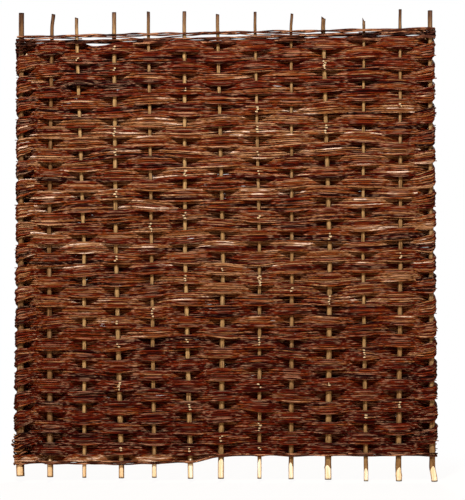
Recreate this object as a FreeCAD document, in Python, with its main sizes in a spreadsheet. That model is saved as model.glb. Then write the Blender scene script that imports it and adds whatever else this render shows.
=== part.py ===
import FreeCAD, Part
import math
import os

import Sketcher
from FreeCAD import Placement, Rotation, Vector

# A willow hurdle, in millimetres: thirteen uprights, rows of rods woven between them, and twisted bindings
# along the top and the bottom. +Z is up, the front faces -Y and the origin is on the ground, mid-panel.

FRONT = -1
BACK = 1
LEFT = -1
RIGHT = 1

SIZES = {
    "end_spacing": 1790,  # between the two end uprights, centre to centre
    "middle_height": 1000,  # where an upright may bow
    "bare_foot": 70,  # top of the straight foot, under the weave
    "bare_tip": 118,  # from the top of the highest row to the tallest tip
    "tip_length": 78,  # straight part of the tallest tip
    "row_count": 39,
    "rods_per_row": 6,
    "weave_base": 118,  # underside of the lowest full row at the left-hand end
    "rise_bottom": 3,  # how much higher the lowest row is at the right-hand end
    "rise_top": 37,  # and the highest row
    "rod_butt": 8.7,  # diameter of a weaving rod's thick end
    "rod_tip": 5.5,  # and of its thin end
    "rod_gap": 0.5,  # between two rods that lie on each other
    "seat_gap": 0.3,  # between a rod and the upright it bends round
    "joint_gap": 0.6,  # between the end of one row's rod and the start of the next
    "rod_bend": 90,  # radius of a rod's bend over an upright
    "slope_bend": 40,  # radius where a rod starts to climb, and where it comes alongside an end upright
    "wrap_tightness": 0.9,  # bend round an end upright, as a share of the snuggest
    "wrap_lead": 8,  # how far inside an end upright a rod comes alongside it
    "climb_start": 8,  # past the middle of the end bay, where a rod starts to climb
    "joint_share": 0.35,  # where the next rod takes over, on the way back from the end upright
    "end_overhang": 26,  # from the last upright's centre to a cut end
    "packing_rods": 4,
    "packing_uprights": 6,  # the packing row reaches from the first upright to this one
    "packing_butt": 8,
    "packing_tip": 6.8,
    "packing_tail": 12,  # from the last upright's centre to the packing's cut ends
    "binding_diameter": 6.4,
    "binding_bend": 60,
    "binding_cross_gap": 1.6,  # between a binding's two halves where they cross
    "binding_spacing": 27,  # from the lower top binding to the upper one
}

DERIVED = {
    "row_pitch": "=rods_per_row / 2 * (rod_butt + rod_tip) + rods_per_row * rod_gap",
    "weave_top": "=weave_base + row_count * row_pitch",
    "tallest_tip": "=weave_top + rise_top + bare_tip",
    "tip_collar": "=tallest_tip - tip_length",
    "packing_depth": "=packing_rods / 2 * (packing_butt + packing_tip) + packing_rods * rod_gap",
    "binding_twist": "=(binding_diameter + binding_cross_gap) / 2",
    "binding_half": "=binding_twist + binding_diameter / 2 + rod_gap",
}

# One value for each upright, from the left. A shift is sideways from an even spacing.
UPRIGHTS = {
    "foot_shift": [-3, -22, -23, -11, -17, -9, -26, -8, -20, -8, 7, -1, -3],
    "middle_shift": [0, -27, -24, -35, -29, -33, -17, -8, -16, -1, -6, 8, -9],
    "tip_shift": [2, -14, -57, -43, -43, -36, -41, -27, -20, -30, -2, 6, -13],
    "foot_diameter": [36, 27, 18, 24, 20, 24, 26, 18, 22, 29, 20, 26, 27],
    "middle_diameter": [26, 20, 17, 19, 16, 18, 19, 16, 17, 21, 16, 19, 21],
    "tip_diameter": [23, 16, 15, 18, 14, 16, 15, 13, 12, 18, 12, 13, 20],
    "foot_lift": [24, 20, 17, 15, 17, 13, 13, 13, 11, 9, 2, 2, 0],
    "tip_drop": [16, 20, 35, 13, 9, 9, 20, 11, 18, 31, 35, 0, 5],
    "tip_slant": [0, 5, 7, 0, 4, 0, 5, 0, 4, 14, 25, 0, 0],
}
UPRIGHT_COUNT = len(UPRIGHTS["foot_shift"])

doc = FreeCAD.newDocument("Hurdle")
sheet = doc.addObject("Spreadsheet::Sheet", "Sizes")


def upright_cell(number, name):
    return f"upright_{number:02d}_{name}"


def fill_sheet():
    cells = dict(SIZES)
    cells.update(DERIVED)
    for name, values in UPRIGHTS.items():
        for number, value in enumerate(values, 1):
            cells[upright_cell(number, name)] = value
    for line, (name, value) in enumerate(cells.items(), 1):
        sheet.set(f"A{line}", name)
        sheet.setAlias(f"B{line}", name)
        sheet.set(f"B{line}", str(value))
    doc.recompute()


def size(name):
    return float(sheet.get(name))


def count(name):
    return int(sheet.get(name))


def upright_size(number, name):
    return size(upright_cell(number, name))


def between(value, low, high, at_low, at_high):
    share = min(max((value - low) / (high - low), 0), 1)
    return at_low + (at_high - at_low) * share


# Uprights: a straight foot, a bowed and tapering length inside the weave, and a straight tip.


def along_panel(number):
    return (number - 1) / (UPRIGHT_COUNT - 1) - 0.5


def station(number):
    return size("end_spacing") * along_panel(number)


def origin_plane(body, role):
    return next(feature for feature in body.Origin.OriginFeatures if feature.Role == role)


def add_ring(body, number, place, height):
    shift_cell = upright_cell(number, f"{place}_shift")
    diameter_cell = upright_cell(number, f"{place}_diameter")
    ring = body.newObject("Sketcher::SketchObject", f"{place}_ring_{number:02d}")
    ring.AttachmentSupport = [(origin_plane(body, "XY_Plane"), "")]
    ring.MapMode = "FlatFace"
    ring.setExpression("AttachmentOffset.Base.x", f"Sizes.{shift_cell}")
    ring.setExpression("AttachmentOffset.Base.z", height)
    diameter = size(diameter_cell)
    circle = ring.addGeometry(Part.Circle(Vector(0, 0, 0), Vector(0, 0, 1), diameter / 2), False)
    ring.addConstraint(Sketcher.Constraint("Coincident", circle, 3, -1, 1))
    width = ring.addConstraint(Sketcher.Constraint("Diameter", circle, diameter))
    ring.setExpression(f"Constraints[{width}]", f"Sizes.{diameter_cell}")
    return ring


def add_pad(body, name, ring, length):
    pad = body.newObject("PartDesign::Pad", name)
    pad.Profile = ring
    pad.setExpression("Length", length)
    return pad


# A slanting cut takes a wedge off the tip, high on the left and low on the right.
def add_slant(body, number):
    drop_cell = upright_cell(number, "tip_drop")
    diameter_cell = upright_cell(number, "tip_diameter")
    slant_cell = upright_cell(number, "tip_slant")
    wedge = body.newObject("Sketcher::SketchObject", f"wedge_{number:02d}")
    wedge.AttachmentSupport = [(origin_plane(body, "XZ_Plane"), "")]
    wedge.MapMode = "FlatFace"
    wedge.setExpression("AttachmentOffset.Base.x", f"Sizes.{upright_cell(number, 'tip_shift')}")
    wedge.setExpression("AttachmentOffset.Base.y", f"Sizes.tallest_tip - Sizes.{drop_cell}")
    half = size(diameter_cell) / 2
    slant = size(slant_cell)
    corners = [Vector(-half, 0, 0), Vector(half, 0, 0), Vector(half, -slant, 0)]
    for start, end in zip(corners, corners[1:] + corners[:1]):
        wedge.addGeometry(Part.LineSegment(start, end), False)
    for line in range(3):
        wedge.addConstraint(Sketcher.Constraint("Coincident", line, 2, (line + 1) % 3, 1))
    wedge.addConstraint(Sketcher.Constraint("PointOnObject", 0, 1, -1))
    wedge.addConstraint(Sketcher.Constraint("Symmetric", 0, 1, 0, 2, -1, 1))
    wedge.addConstraint(Sketcher.Constraint("Vertical", 1))
    across_tip = wedge.addConstraint(Sketcher.Constraint("DistanceX", 0, 1, 0, 2, 2 * half))
    down_tip = wedge.addConstraint(Sketcher.Constraint("DistanceY", 1, 2, 1, 1, slant))
    wedge.setExpression(f"Constraints[{across_tip}]", f"Sizes.{diameter_cell}")
    wedge.setExpression(f"Constraints[{down_tip}]", f"Sizes.{slant_cell}")
    cut = body.newObject("PartDesign::Pocket", f"tip_slant_{number:02d}")
    cut.Profile = wedge
    cut.Type = "ThroughAll"
    cut.Midplane = True
    return cut


def add_upright(number):
    body = doc.addObject("PartDesign::Body", f"upright_{number:02d}")
    body.Label = f"upright_{number:02d}"
    lift = f"Sizes.{upright_cell(number, 'foot_lift')}"
    drop = f"Sizes.{upright_cell(number, 'tip_drop')}"
    foot = add_ring(body, number, "foot", lift)
    add_pad(body, f"foot_{number:02d}", foot, f"Sizes.bare_foot - {lift}")
    low_ring = add_ring(body, number, "foot", "Sizes.bare_foot")
    middle_ring = add_ring(body, number, "middle", "Sizes.middle_height")
    high_ring = add_ring(body, number, "tip", "Sizes.tip_collar")
    woven_length = body.newObject("PartDesign::AdditiveLoft", f"woven_length_{number:02d}")
    woven_length.Profile = low_ring
    woven_length.Sections = [middle_ring, high_ring]
    woven_length.Ruled = True
    tip = add_ring(body, number, "tip", "Sizes.tip_collar")
    body.Tip = add_pad(body, f"tip_{number:02d}", tip, f"Sizes.tip_length - {drop}")
    if upright_size(number, "tip_slant") > 0:
        body.Tip = add_slant(body, number)
    body.setExpression("Placement.Base.x", f"Sizes.end_spacing * {along_panel(number)}")
    return body


# Sideways place and radius of an upright at a height.
def upright_at(number, height):
    middle = size("middle_height")
    if height < middle:
        places, low, high = ("foot", "middle"), size("bare_foot"), middle
    else:
        places, low, high = ("middle", "tip"), middle, size("tip_collar")
    shifts = [upright_size(number, f"{place}_shift") for place in places]
    diameters = [upright_size(number, f"{place}_diameter") for place in places]
    shift = between(height, low, high, *shifts)
    return station(number) + shift, between(height, low, high, *diameters) / 2


# Rods: straight runs joined by round bends. A corner is where two runs would meet.


class Corner:
    def __init__(self, point, radius, bend=0.0, seat=None):
        self.point = point
        self.radius = radius
        self.bend = bend
        self.seat = seat  # side and distance from an upright's centre, where the rod rests on one


class Bend:
    def __init__(self, before, corner, after):
        self.way_in = (corner.point - before.point).normalize()
        self.way_out = (after.point - corner.point).normalize()
        self.turn = self.way_in.getAngle(self.way_out)
        self.axis = self.way_in.cross(self.way_out).normalize()
        self.radius = corner.radius
        trim = corner.bend * math.tan(self.turn / 2)
        self.start = corner.point - self.way_in * trim
        self.end = corner.point + self.way_out * trim
        self.centre = self.start + self.axis.cross(self.way_in) * corner.bend

    def turned(self, vector, share=1.0):
        return Rotation(self.axis, math.degrees(self.turn * share)).multVec(vector)

    def middle(self):
        return self.centre + self.turned(self.start - self.centre, 0.5)


def bends_of(corners):
    return [Bend(*three) for three in zip(corners, corners[1:], corners[2:])]


# A bend cuts inside its corner, so a corner over an upright moves out until the bend itself clears it.
def settle(corners):
    for _ in range(4):
        for before, corner, after in zip(corners, corners[1:], corners[2:]):
            if corner.seat:
                side, reach = corner.seat
                turn = Bend(before, corner, after).turn
                corner.point.y = side * (reach + corner.bend * (1 / math.cos(turn / 2) - 1))
    return corners


def circle_at(centre, normal, radius, mark):
    circle = Part.Circle(centre, normal, radius)
    circle.XAxis = mark
    return circle.toShape()


# A rod tapers along its runs and keeps its thickness round each bend. The mark is a line along its skin,
# carried round the bends, where the seams of all its faces meet.
def bent_rod(corners):
    first, last = corners[0], corners[-1]
    point, radius = first.point, first.radius
    heading = (corners[1].point - point).normalize()
    mark = (Vector(0, 0, 1) - heading * heading.z).normalize()
    faces = [Part.Face(Part.Wire(circle_at(point, heading, radius, mark)))]
    for bend in bends_of(corners):
        run = Part.makeLine(point + mark * radius, bend.start + mark * bend.radius)
        faces.append(run.revolve(point, heading, 360))
        ring = circle_at(bend.start, heading, bend.radius, mark)
        faces.append(ring.revolve(bend.centre, bend.axis, math.degrees(bend.turn)))
        mark = bend.turned(mark)
        point, radius, heading = bend.end, bend.radius, bend.way_out
    run = Part.makeLine(point + mark * radius, last.point + mark * last.radius)
    faces.append(run.revolve(point, heading, 360))
    faces.append(Part.Face(Part.Wire(circle_at(last.point, heading, last.radius, mark))))
    skin = Part.makeShell(faces)
    skin.sewShape()
    solid = Part.Solid(skin)
    if solid.Volume < 0:
        solid.reverse()
    return solid


# Strands: what lies at a place across the panel. Each one knows its height and its radius there.


def across(x):
    return min(max(x / size("end_spacing") + 0.5, 0), 1)


def row_floor(row, x):
    level = (row - 1) / (size("row_count") - 1)
    rise = between(level, 0, 1, size("rise_bottom"), size("rise_top"))
    return size("weave_base") + (row - 1) * size("row_pitch") + rise * across(x)


# In a bundle rod 1 is the lowest. Odd rods have the butt at the left, even ones at the right.
class BundleRod:
    def __init__(self, rod, butt, tip):
        self.rod = rod
        self.butt = butt
        self.tip = tip

    def floor(self, x):
        raise NotImplementedError

    def radius_of(self, rod, x):
        left, right = (self.butt, self.tip) if rod % 2 == 1 else (self.tip, self.butt)
        return between(across(x), 0, 1, left, right) / 2

    def radius(self, x):
        return self.radius_of(self.rod, x)

    def height(self, x):
        gap = size("rod_gap")
        below = sum(2 * self.radius_of(lower, x) + gap for lower in range(1, self.rod))
        return self.floor(x) + below + gap / 2 + self.radius(x)


class RowRod(BundleRod):
    def __init__(self, row, rod):
        super().__init__(rod, size("rod_butt"), size("rod_tip"))
        self.row = row

    def floor(self, x):
        return row_floor(self.row, x)


class PackingRod(BundleRod):
    def __init__(self, rod):
        super().__init__(rod, size("packing_butt"), size("packing_tip"))

    def floor(self, x):
        return row_floor(1, x) - size("packing_depth")


class BottomBinding:
    def radius(self, x):
        return size("binding_diameter") / 2

    def height(self, x):
        last = count("packing_uprights")
        under_packing = x < (station(last) + station(last + 1)) / 2
        drop = size("packing_depth") if under_packing else 0
        return row_floor(1, x) - drop - size("binding_half")


class TopBinding:
    def __init__(self, lift):
        self.lift = lift

    def radius(self, x):
        return size("binding_diameter") / 2

    def height(self, x):
        top = row_floor(count("row_count"), x) + size("row_pitch")
        return top + size("binding_half") + self.lift


# Where a strand meets an upright.
class Crossing:
    def __init__(self, strand, number):
        height = strand.height(station(number))
        self.x, _ = upright_at(number, height)
        self.height = strand.height(self.x)
        self.x, thickness = upright_at(number, self.height)
        self.radius = strand.radius(self.x)
        self.reach = thickness + size("seat_gap") + self.radius

    def point(self, side, offset=0.0):
        return Vector(self.x + offset, side * self.reach, self.height)


# Even rows pass in front of the odd uprights, odd rows behind them. The packing counts as row 0.
def side_of(row, number):
    return FRONT if (row + number) % 2 == 1 else BACK


def over_upright(strand, number, side, bend):
    meet = Crossing(strand, number)
    return Corner(meet.point(side), meet.radius, bend, (side, meet.reach))


# A strand that stops at an upright goes straight past it to a cut end, which is the first corner.
def cut_end(strand, number, side, outward, overhang):
    meet = Crossing(strand, number)
    end = meet.point(side, outward * overhang)
    alongside = meet.point(side, -outward * size("wrap_lead"))
    return [Corner(end, meet.radius), Corner(alongside, meet.radius, size("slope_bend"))]


def end_upright(outward):
    return 1 if outward == LEFT else UPRIGHT_COUNT


# Half of an eight-sided outline round an upright, from one face of the panel to the other. Bends round it.
def round_upright(meet, side, outward):
    far = meet.reach
    near = far * math.tan(math.pi / 8)
    outline = [(near, side * far), (far, side * near), (far, -side * near), (near, -side * far)]
    return [Vector(meet.x + outward * out, depth, meet.height) for out, depth in outline]


def snug_bend(meet):
    return meet.reach * size("wrap_tightness")


# The way of a rod out round an end upright and back, before it climbs.
# It goes in at the back on the left and at the front on the right.
def level_wrap(strand, outward):
    number = end_upright(outward)
    meet = Crossing(strand, number)
    neighbour = Crossing(strand, number - outward)
    side = -outward
    lead = -outward * size("wrap_lead")
    turn_in = (meet.x + neighbour.x) / 2 + outward * size("climb_start")
    depth = side * between(turn_in, neighbour.x, meet.x + lead, -neighbour.reach, meet.reach)
    way_in = [Vector(turn_in, depth, meet.height), meet.point(side, lead)]
    way_out = [meet.point(-side, lead), Vector(turn_in, -depth, meet.height)]
    return way_in + round_upright(meet, side, outward) + way_out


# A rod climbs from its row to the next one as it turns round an end upright. All the rods of a row climb
# in step with the lowest, so they stay the same distance apart.
def wrap(outward, row, rod):
    strand = RowRod(row, rod)
    meet = Crossing(strand, end_upright(outward))
    climb = RowRod(row + 1, rod).height(meet.x) - meet.height
    gentle, snug = size("slope_bend"), snug_bend(meet)
    bends = [gentle] * 2 + [snug] * 4 + [gentle] * 2
    pace = level_wrap(RowRod(row, 1), outward)
    runs = [(end - start).Length for start, end in zip(pace, pace[1:])]
    corners = []
    for index, (spot, bend) in enumerate(zip(level_wrap(strand, outward), bends)):
        climbed = Vector(0, 0, climb * sum(runs[:index]) / sum(runs))
        corners.append(Corner(spot + climbed, strand.radius(spot.x), bend))
    return corners


# Where the next row's rod takes over on the last run of a wrap: the end of one and the start of the other.
def joint(corners):
    alongside, turn_out = corners[-2:]
    way = turn_out.point - alongside.point
    share = size("joint_share")
    radius = between(share, 0, 1, alongside.radius, turn_out.radius)
    end = alongside.point + way * share
    start = end + Vector(way).normalize() * size("joint_gap")
    return Corner(end, radius), Corner(start, radius)


# Odd rows run from right to left and even rows from left to right, so each goes on from the one below.
def row_rod(row, rod):
    strand = RowRod(row, rod)
    outward = LEFT if row % 2 == 1 else RIGHT
    if row == 1:
        first = end_upright(-outward)
        corners = cut_end(strand, first, side_of(row, first), -outward, size("end_overhang"))
    else:
        below = wrap(-outward, row - 1, rod)
        _, start = joint(below)
        corners = [start, below[-1]]
    inner = list(range(2, UPRIGHT_COUNT))
    for number in inner if outward == RIGHT else reversed(inner):
        corners.append(over_upright(strand, number, side_of(row, number), size("rod_bend")))
    if row == count("row_count"):
        last = end_upright(outward)
        corners += reversed(cut_end(strand, last, side_of(row, last), outward, size("end_overhang")))
    else:
        above = wrap(outward, row, rod)
        end, _ = joint(above)
        corners += above[:-1] + [end]
    return bent_rod(settle(corners))


def packing_rod(rod):
    strand = PackingRod(rod)
    last = count("packing_uprights")
    corners = cut_end(strand, 1, side_of(0, 1), LEFT, size("end_overhang"))
    for number in range(2, last):
        corners.append(over_upright(strand, number, side_of(0, number), size("rod_bend")))
    corners += reversed(cut_end(strand, last, side_of(0, last), RIGHT, size("packing_tail")))
    return bent_rod(settle(corners))


# The rods of a bundle lie in one feature, placed at the height of the bundle's underside.
def add_bundle(name, rods, floor):
    bundle = doc.addObject("Part::Feature", name)
    bundle.Label = name
    floor_height = float(bundle.evalExpression(floor))
    for rod in rods:
        rod.translate(Vector(0, 0, -floor_height))
    bundle.Shape = Part.makeCompound(rods)
    bundle.setExpression("Placement.Base.z", floor)
    return bundle


# Bindings: a thin rod doubled round the left-hand upright, its two halves twisted together in every bay.


# One half, from beside the left-hand upright to its cut end on the right. It goes over the other half on its
# way from front to back, and under it on its way forward again.
def binding_half(strand, side):
    bend = size("binding_bend")
    first = Crossing(strand, 1)
    corners = [Corner(first.point(side, size("wrap_lead")), first.radius, size("slope_bend"))]
    for number in range(2, UPRIGHT_COUNT + 1):
        here, there = Crossing(strand, number - 1), Crossing(strand, number)
        height = (here.height + there.height) / 2 - side * size("binding_twist")
        corners.append(Corner(Vector((here.x + there.x) / 2, 0, height), here.radius, bend))
        side = -side
        if number < UPRIGHT_COUNT:
            corners.append(over_upright(strand, number, side, bend))
    corners += reversed(cut_end(strand, UPRIGHT_COUNT, side, RIGHT, size("end_overhang")))
    return settle(corners)


def route_of(corners):
    edges = []
    point = corners[0].point
    for bend in bends_of(corners):
        edges.append(Part.LineSegment(point, bend.start).toShape())
        edges.append(Part.Arc(bend.start, bend.middle(), bend.end).toShape())
        point = bend.end
    edges.append(Part.LineSegment(point, corners[-1].point).toShape())
    return Part.Wire(edges)


def add_binding(name, strand):
    first = Crossing(strand, 1)
    loop = [Corner(spot, first.radius, snug_bend(first)) for spot in round_upright(first, FRONT, LEFT)]
    corners = list(reversed(binding_half(strand, FRONT))) + loop + binding_half(strand, BACK)
    start = corners[0].point
    heading = corners[1].point - start
    route = doc.addObject("Part::Feature", f"{name}_route")
    route.Shape = route_of(corners)
    ring = doc.addObject("Part::Circle", f"{name}_ring")
    ring.setExpression("Radius", "Sizes.binding_diameter / 2")
    ring.Placement = Placement(start, Rotation(Vector(0, 0, 1), heading))
    binding = doc.addObject("Part::Sweep", name)
    binding.Label = name
    binding.Sections = [ring]
    binding.Spine = (route, [f"Edge{number}" for number in range(1, len(route.Shape.Edges) + 1)])
    binding.Solid = True
    return binding


fill_sheet()
nodes = [add_upright(number) for number in range(1, UPRIGHT_COUNT + 1)]
for row in range(1, count("row_count") + 1):
    rods = [row_rod(row, rod) for rod in range(1, count("rods_per_row") + 1)]
    nodes.append(add_bundle(f"weave_row_{row:02d}", rods, f"Sizes.weave_base + {row - 1} * Sizes.row_pitch"))
packing_rods = [packing_rod(rod) for rod in range(1, count("packing_rods") + 1)]
nodes.append(add_bundle("packing_row", packing_rods, "Sizes.weave_base - Sizes.packing_depth"))
nodes.append(add_binding("bottom_binding", BottomBinding()))
nodes.append(add_binding("top_binding_lower", TopBinding(0)))
nodes.append(add_binding("top_binding_upper", TopBinding(size("binding_spacing"))))
doc.recompute()

os.makedirs("parts", exist_ok=True)
for item in doc.Objects:
    if "Invalid" in item.State or "Error" in item.State:
        raise RuntimeError(f"{item.Label} could not be worked out")
for node in nodes:
    if node.Shape.isNull() or not node.Shape.isValid():
        raise RuntimeError(f"{node.Label} has no sound shape")
    node.Shape.exportStep(f"parts/{node.Label}.step")
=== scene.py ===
import math
import random

import bpy
import numpy as np
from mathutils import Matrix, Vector


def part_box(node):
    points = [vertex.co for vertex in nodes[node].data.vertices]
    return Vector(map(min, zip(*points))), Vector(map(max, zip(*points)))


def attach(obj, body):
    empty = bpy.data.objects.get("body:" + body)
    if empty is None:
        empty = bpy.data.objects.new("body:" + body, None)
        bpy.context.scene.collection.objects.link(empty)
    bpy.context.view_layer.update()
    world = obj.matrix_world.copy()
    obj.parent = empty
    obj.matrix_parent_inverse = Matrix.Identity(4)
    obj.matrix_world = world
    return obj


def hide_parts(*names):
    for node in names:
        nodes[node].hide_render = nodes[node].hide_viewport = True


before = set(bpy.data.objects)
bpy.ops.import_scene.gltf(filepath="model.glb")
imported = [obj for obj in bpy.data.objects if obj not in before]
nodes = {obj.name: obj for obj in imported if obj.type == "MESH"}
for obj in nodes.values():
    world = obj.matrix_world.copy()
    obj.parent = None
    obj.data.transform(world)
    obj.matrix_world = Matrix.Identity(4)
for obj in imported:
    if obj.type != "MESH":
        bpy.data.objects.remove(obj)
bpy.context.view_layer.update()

dice = random.Random(7)
uprightNames = sorted(n for n in nodes if n.startswith("upright_"))
rowNames = sorted(n for n in nodes if n.startswith("weave_row_"))
print("frame loaded:", len(uprightNames), "uprights,", len(rowNames), "rows")


# colours are picked as they look on screen, 0 to 255
def paint(red, green, blue):
    def lin(v):
        v /= 255.0
        return v / 12.92 if v <= 0.04045 else ((v + 0.055) / 1.055) ** 2.4
    return (lin(red), lin(green), lin(blue), 1.0)


white = (1.0, 1.0, 1.0, 1.0)
black = (0.0, 0.0, 0.0, 1.0)


def smooth(t):
    t = np.clip(t, 0.0, 1.0)
    return t * t * (3.0 - 2.0 * t)


def rise(z, start, length):
    # from 0 at the start to 1 a length further on
    return smooth((z - start) / length)


def halfWave(t):
    return 0.5 - 0.5 * np.cos(math.pi * t)


def ripple(run, size, waves=(0.09, 0.17, 0.41)):
    # slow random waving along a rod, run and waves in metres
    total = np.zeros_like(run)
    for wave in waves:
        total += math.sqrt(wave) * np.sin(run * 2.0 * math.pi / (wave * dice.uniform(0.8, 1.25))
                                          + dice.uniform(0.0, 2.0 * math.pi))
    return size * total / sum(math.sqrt(w) for w in waves)


def runOf(path):
    # length along a line of points
    step = np.linalg.norm(np.diff(path, axis=0), axis=1)
    return np.concatenate([[0.0], np.cumsum(step)])


# what the frame says: where each upright stands and where each row runs
reading = {
    "ringPoints": 8, "outOfRound": 0.12,         # what counts as a ring of an upright
    "tipLength": 0.03, "halfway": 1.0,
    "crossing": 0.02, "crossingPoints": 4,       # how near to an upright a row is read, and from how many points
    "bindingPoints": 24,
}


def pointsOf(name):
    mesh = nodes[name].data
    flat = np.empty(len(mesh.vertices) * 3, dtype=np.float32)
    mesh.vertices.foreach_get("co", flat)
    return flat.reshape(-1, 3).astype(float)


class Stake:
    # height, middle and thickness of one upright, ring by ring
    def __init__(self, name):
        pts = pointsOf(name)
        self.name = name
        self.low, self.high = pts[:, 2].min(), pts[:, 2].max()
        level = np.round(pts[:, 2], 3)
        self.z, self.x, self.r = [], [], []
        for height in np.unique(level):
            ring = pts[level == height]
            wide, deep = np.ptp(ring[:, 0]), np.ptp(ring[:, 1])
            if len(ring) < reading["ringPoints"] or abs(wide - deep) > reading["outOfRound"] * deep:
                continue
            self.z.append(height)
            self.x.append(0.5 * (ring[:, 0].min() + ring[:, 0].max()))
            self.r.append(0.5 * deep)
        top = pts[pts[:, 2] > self.high - reading["tipLength"]]
        half = np.median(top[:, 0])
        left = top[top[:, 0] < half][:, 2].max()
        right = top[top[:, 0] >= half][:, 2].max()
        self.lean = right - left      # + where the cut tip is higher at the right

    def middle(self, z):
        return np.interp(z, self.z, self.x)

    def radius(self, z):
        return np.interp(z, self.z, self.r)


stakes = [Stake(n) for n in uprightNames]
stakeX = np.array([float(s.middle(reading["halfway"])) for s in stakes])
last = len(stakes) - 1


def levelOf(name, first, final):
    # a row's height as a straight line in x, and its side of each upright from first to final
    pts = pointsOf(name)
    xs, zs, sides = [], [], {}
    for n in range(first, final + 1):
        near = pts[np.abs(pts[:, 0] - stakeX[n]) < reading["crossing"]]
        if len(near) < reading["crossingPoints"]:
            continue
        xs.append(stakeX[n])
        zs.append(0.5 * (near[:, 2].min() + near[:, 2].max()))
        sides[n] = 1.0 if near[:, 1].mean() > 0.0 else -1.0
    slope, base = np.polyfit(xs, zs, 1)
    return slope, base, sides


rows = [levelOf(n, 2, last - 2) for n in rowNames]
rowCount = len(rows)
pitch = (rows[-1][1] - rows[0][1]) / (rowCount - 1)
print("row 1 at", round(rows[0][1], 3), "top row at", round(rows[-1][1], 3))


def rowLevel(row, x):
    slope, base = rows[row][:2]
    return base + slope * x


def rowSide(row, n):
    # -1 in front of upright n, +1 behind it
    sides = rows[row][2]
    k = next(iter(sides))
    return sides[k] if (n - k) % 2 == 0 else -sides[k]


# one mesh that gathers rods: bark on material 0, cut wood on material 1
class Bundle:
    def __init__(self, name):
        self.name = name
        self.points, self.faces, self.finish = [], [], []
        self.tone, self.pale, self.run, self.seam = [], [], [], []
        self.count = 0

    def addRod(self, path, radius, tone, pale=None, up=(0.0, 0.0, 1.0), sides=8, tipLean=0.0,
               lumps=None, slant=0.0, flank=np.sin, darkEnd=0, lowest=-1.0):
        path = np.asarray(path, dtype=float)
        n = len(path)
        radius = np.broadcast_to(np.asarray(radius, dtype=float), (n,))
        ahead = np.gradient(path, axis=0)
        ahead /= np.linalg.norm(ahead, axis=1)[:, None]
        across = np.cross(ahead, np.array(up))
        across /= np.linalg.norm(across, axis=1)[:, None]
        over = np.cross(across, ahead)
        angle = np.arange(sides) * 2.0 * math.pi / sides
        swell = np.ones((n, sides)) if lumps is None else lumps(n, angle)
        ring = (path[:, None, :]
                + (radius[:, None] * swell * np.cos(angle)[None, :])[:, :, None] * across[:, None, :]
                + (radius[:, None] * swell * np.sin(angle)[None, :])[:, :, None] * over[:, None, :])
        ring[:, :, 2] = np.maximum(ring[:, :, 2], lowest)
        if slant:       # a knife cut that faces the front, at the last end
            back = ring[-1, :, 1] - path[-1, 1]
            ring[-1] += slant * back[:, None] * ahead[-1][None, :]
        if tipLean:
            ring[-1, :, 2] += tipLean * (ring[-1, :, 0] - path[-1, 0]) / (2.0 * radius[-1])
        run = runOf(path)
        pale = np.zeros(n) if pale is None else np.asarray(pale, dtype=float)
        base = self.count
        self.points.append(ring.reshape(-1, 3))
        tone = np.broadcast_to(np.asarray(tone, dtype=float), (n,))
        self.tone.append(np.repeat(tone, sides))
        # painted shade: flanks darkened where neighbours shade them, top and bottom on a rod, left and right on an
        # upright; darkEnd also darkens the last rings as a weathered end
        seam = np.tile(np.abs(flank(angle)), (n, 1))
        if darkEnd:
            seam[-darkEnd:] = 1.0
        self.seam.append(seam.ravel())
        self.pale.append(pale.ravel() if pale.ndim == 2 else np.repeat(pale, sides))
        self.run.append(np.repeat(run, sides))
        self.count += n * sides
        i = np.arange(n - 1)[:, None]
        k = np.arange(sides)[None, :]
        nxt = (k + 1) % sides
        quads = np.stack([base + i * sides + k, base + i * sides + nxt,
                          base + (i + 1) * sides + nxt, base + (i + 1) * sides + k], axis=-1)
        quads = quads.reshape(-1, 4)
        self.faces.extend(map(tuple, quads[:, ::-1].tolist()))
        self.finish.extend([0] * len(quads))
        for end in (0, n - 1):
            lid = np.vstack([ring[end], ring[end].mean(axis=0)])
            start = self.count
            self.points.append(lid)
            self.tone.append(np.full(sides + 1, tone[end]))
            self.seam.append(np.zeros(sides + 1))
            self.pale.append(np.concatenate([np.zeros(sides), [1.0]]))
            self.run.append(np.full(sides + 1, run[end]))
            self.count += sides + 1
            for s in range(sides):
                a, b = start + s, start + (s + 1) % sides
                self.faces.append((a, b, start + sides) if end == 0 else (b, a, start + sides))
                self.finish.append(1)

    def make(self, bark, wood, node, slotName):
        mesh = bpy.data.meshes.new(self.name)
        mesh.from_pydata(np.vstack(self.points).tolist(), [], self.faces)
        mesh.materials.append(bark)
        mesh.materials.append(wood)
        mesh.polygons.foreach_set("material_index", self.finish)
        mesh.polygons.foreach_set("use_smooth", [f == 0 for f in self.finish])
        for name, values in (("tone", self.tone), ("pale", self.pale), ("run", self.run), ("seam", self.seam)):
            mesh.attributes.new(name, "FLOAT", "POINT").data.foreach_set("value", np.concatenate(values))
        mesh.update()
        piece = bpy.data.objects.new(self.name, mesh)
        bpy.context.collection.objects.link(piece)
        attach(piece, "root")
        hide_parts(node)


# finishes
def newFinish(name):
    mat = bpy.data.materials.new(name)
    mat.use_nodes = True
    tree = mat.node_tree
    return mat, tree, tree.nodes["Principled BSDF"]


def addNode(tree, kind, **values):
    node = tree.nodes.new(kind)
    for key, value in values.items():
        if key in node.inputs:
            node.inputs[key].default_value = value
        else:
            setattr(node, key, value)
    return node


def attributeOf(tree, name):
    return addNode(tree, "ShaderNodeAttribute", attribute_name=name).outputs["Fac"]


def rampOf(tree, source, stops):
    ramp = tree.nodes.new("ShaderNodeValToRGB")
    band = ramp.color_ramp
    while len(band.elements) < len(stops):
        band.elements.new(0.5)
    for stop, (place, colour) in zip(band.elements, stops):
        stop.position = place
        stop.color = colour
    tree.links.new(source, ramp.inputs["Fac"])
    return ramp.outputs["Color"]


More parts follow.
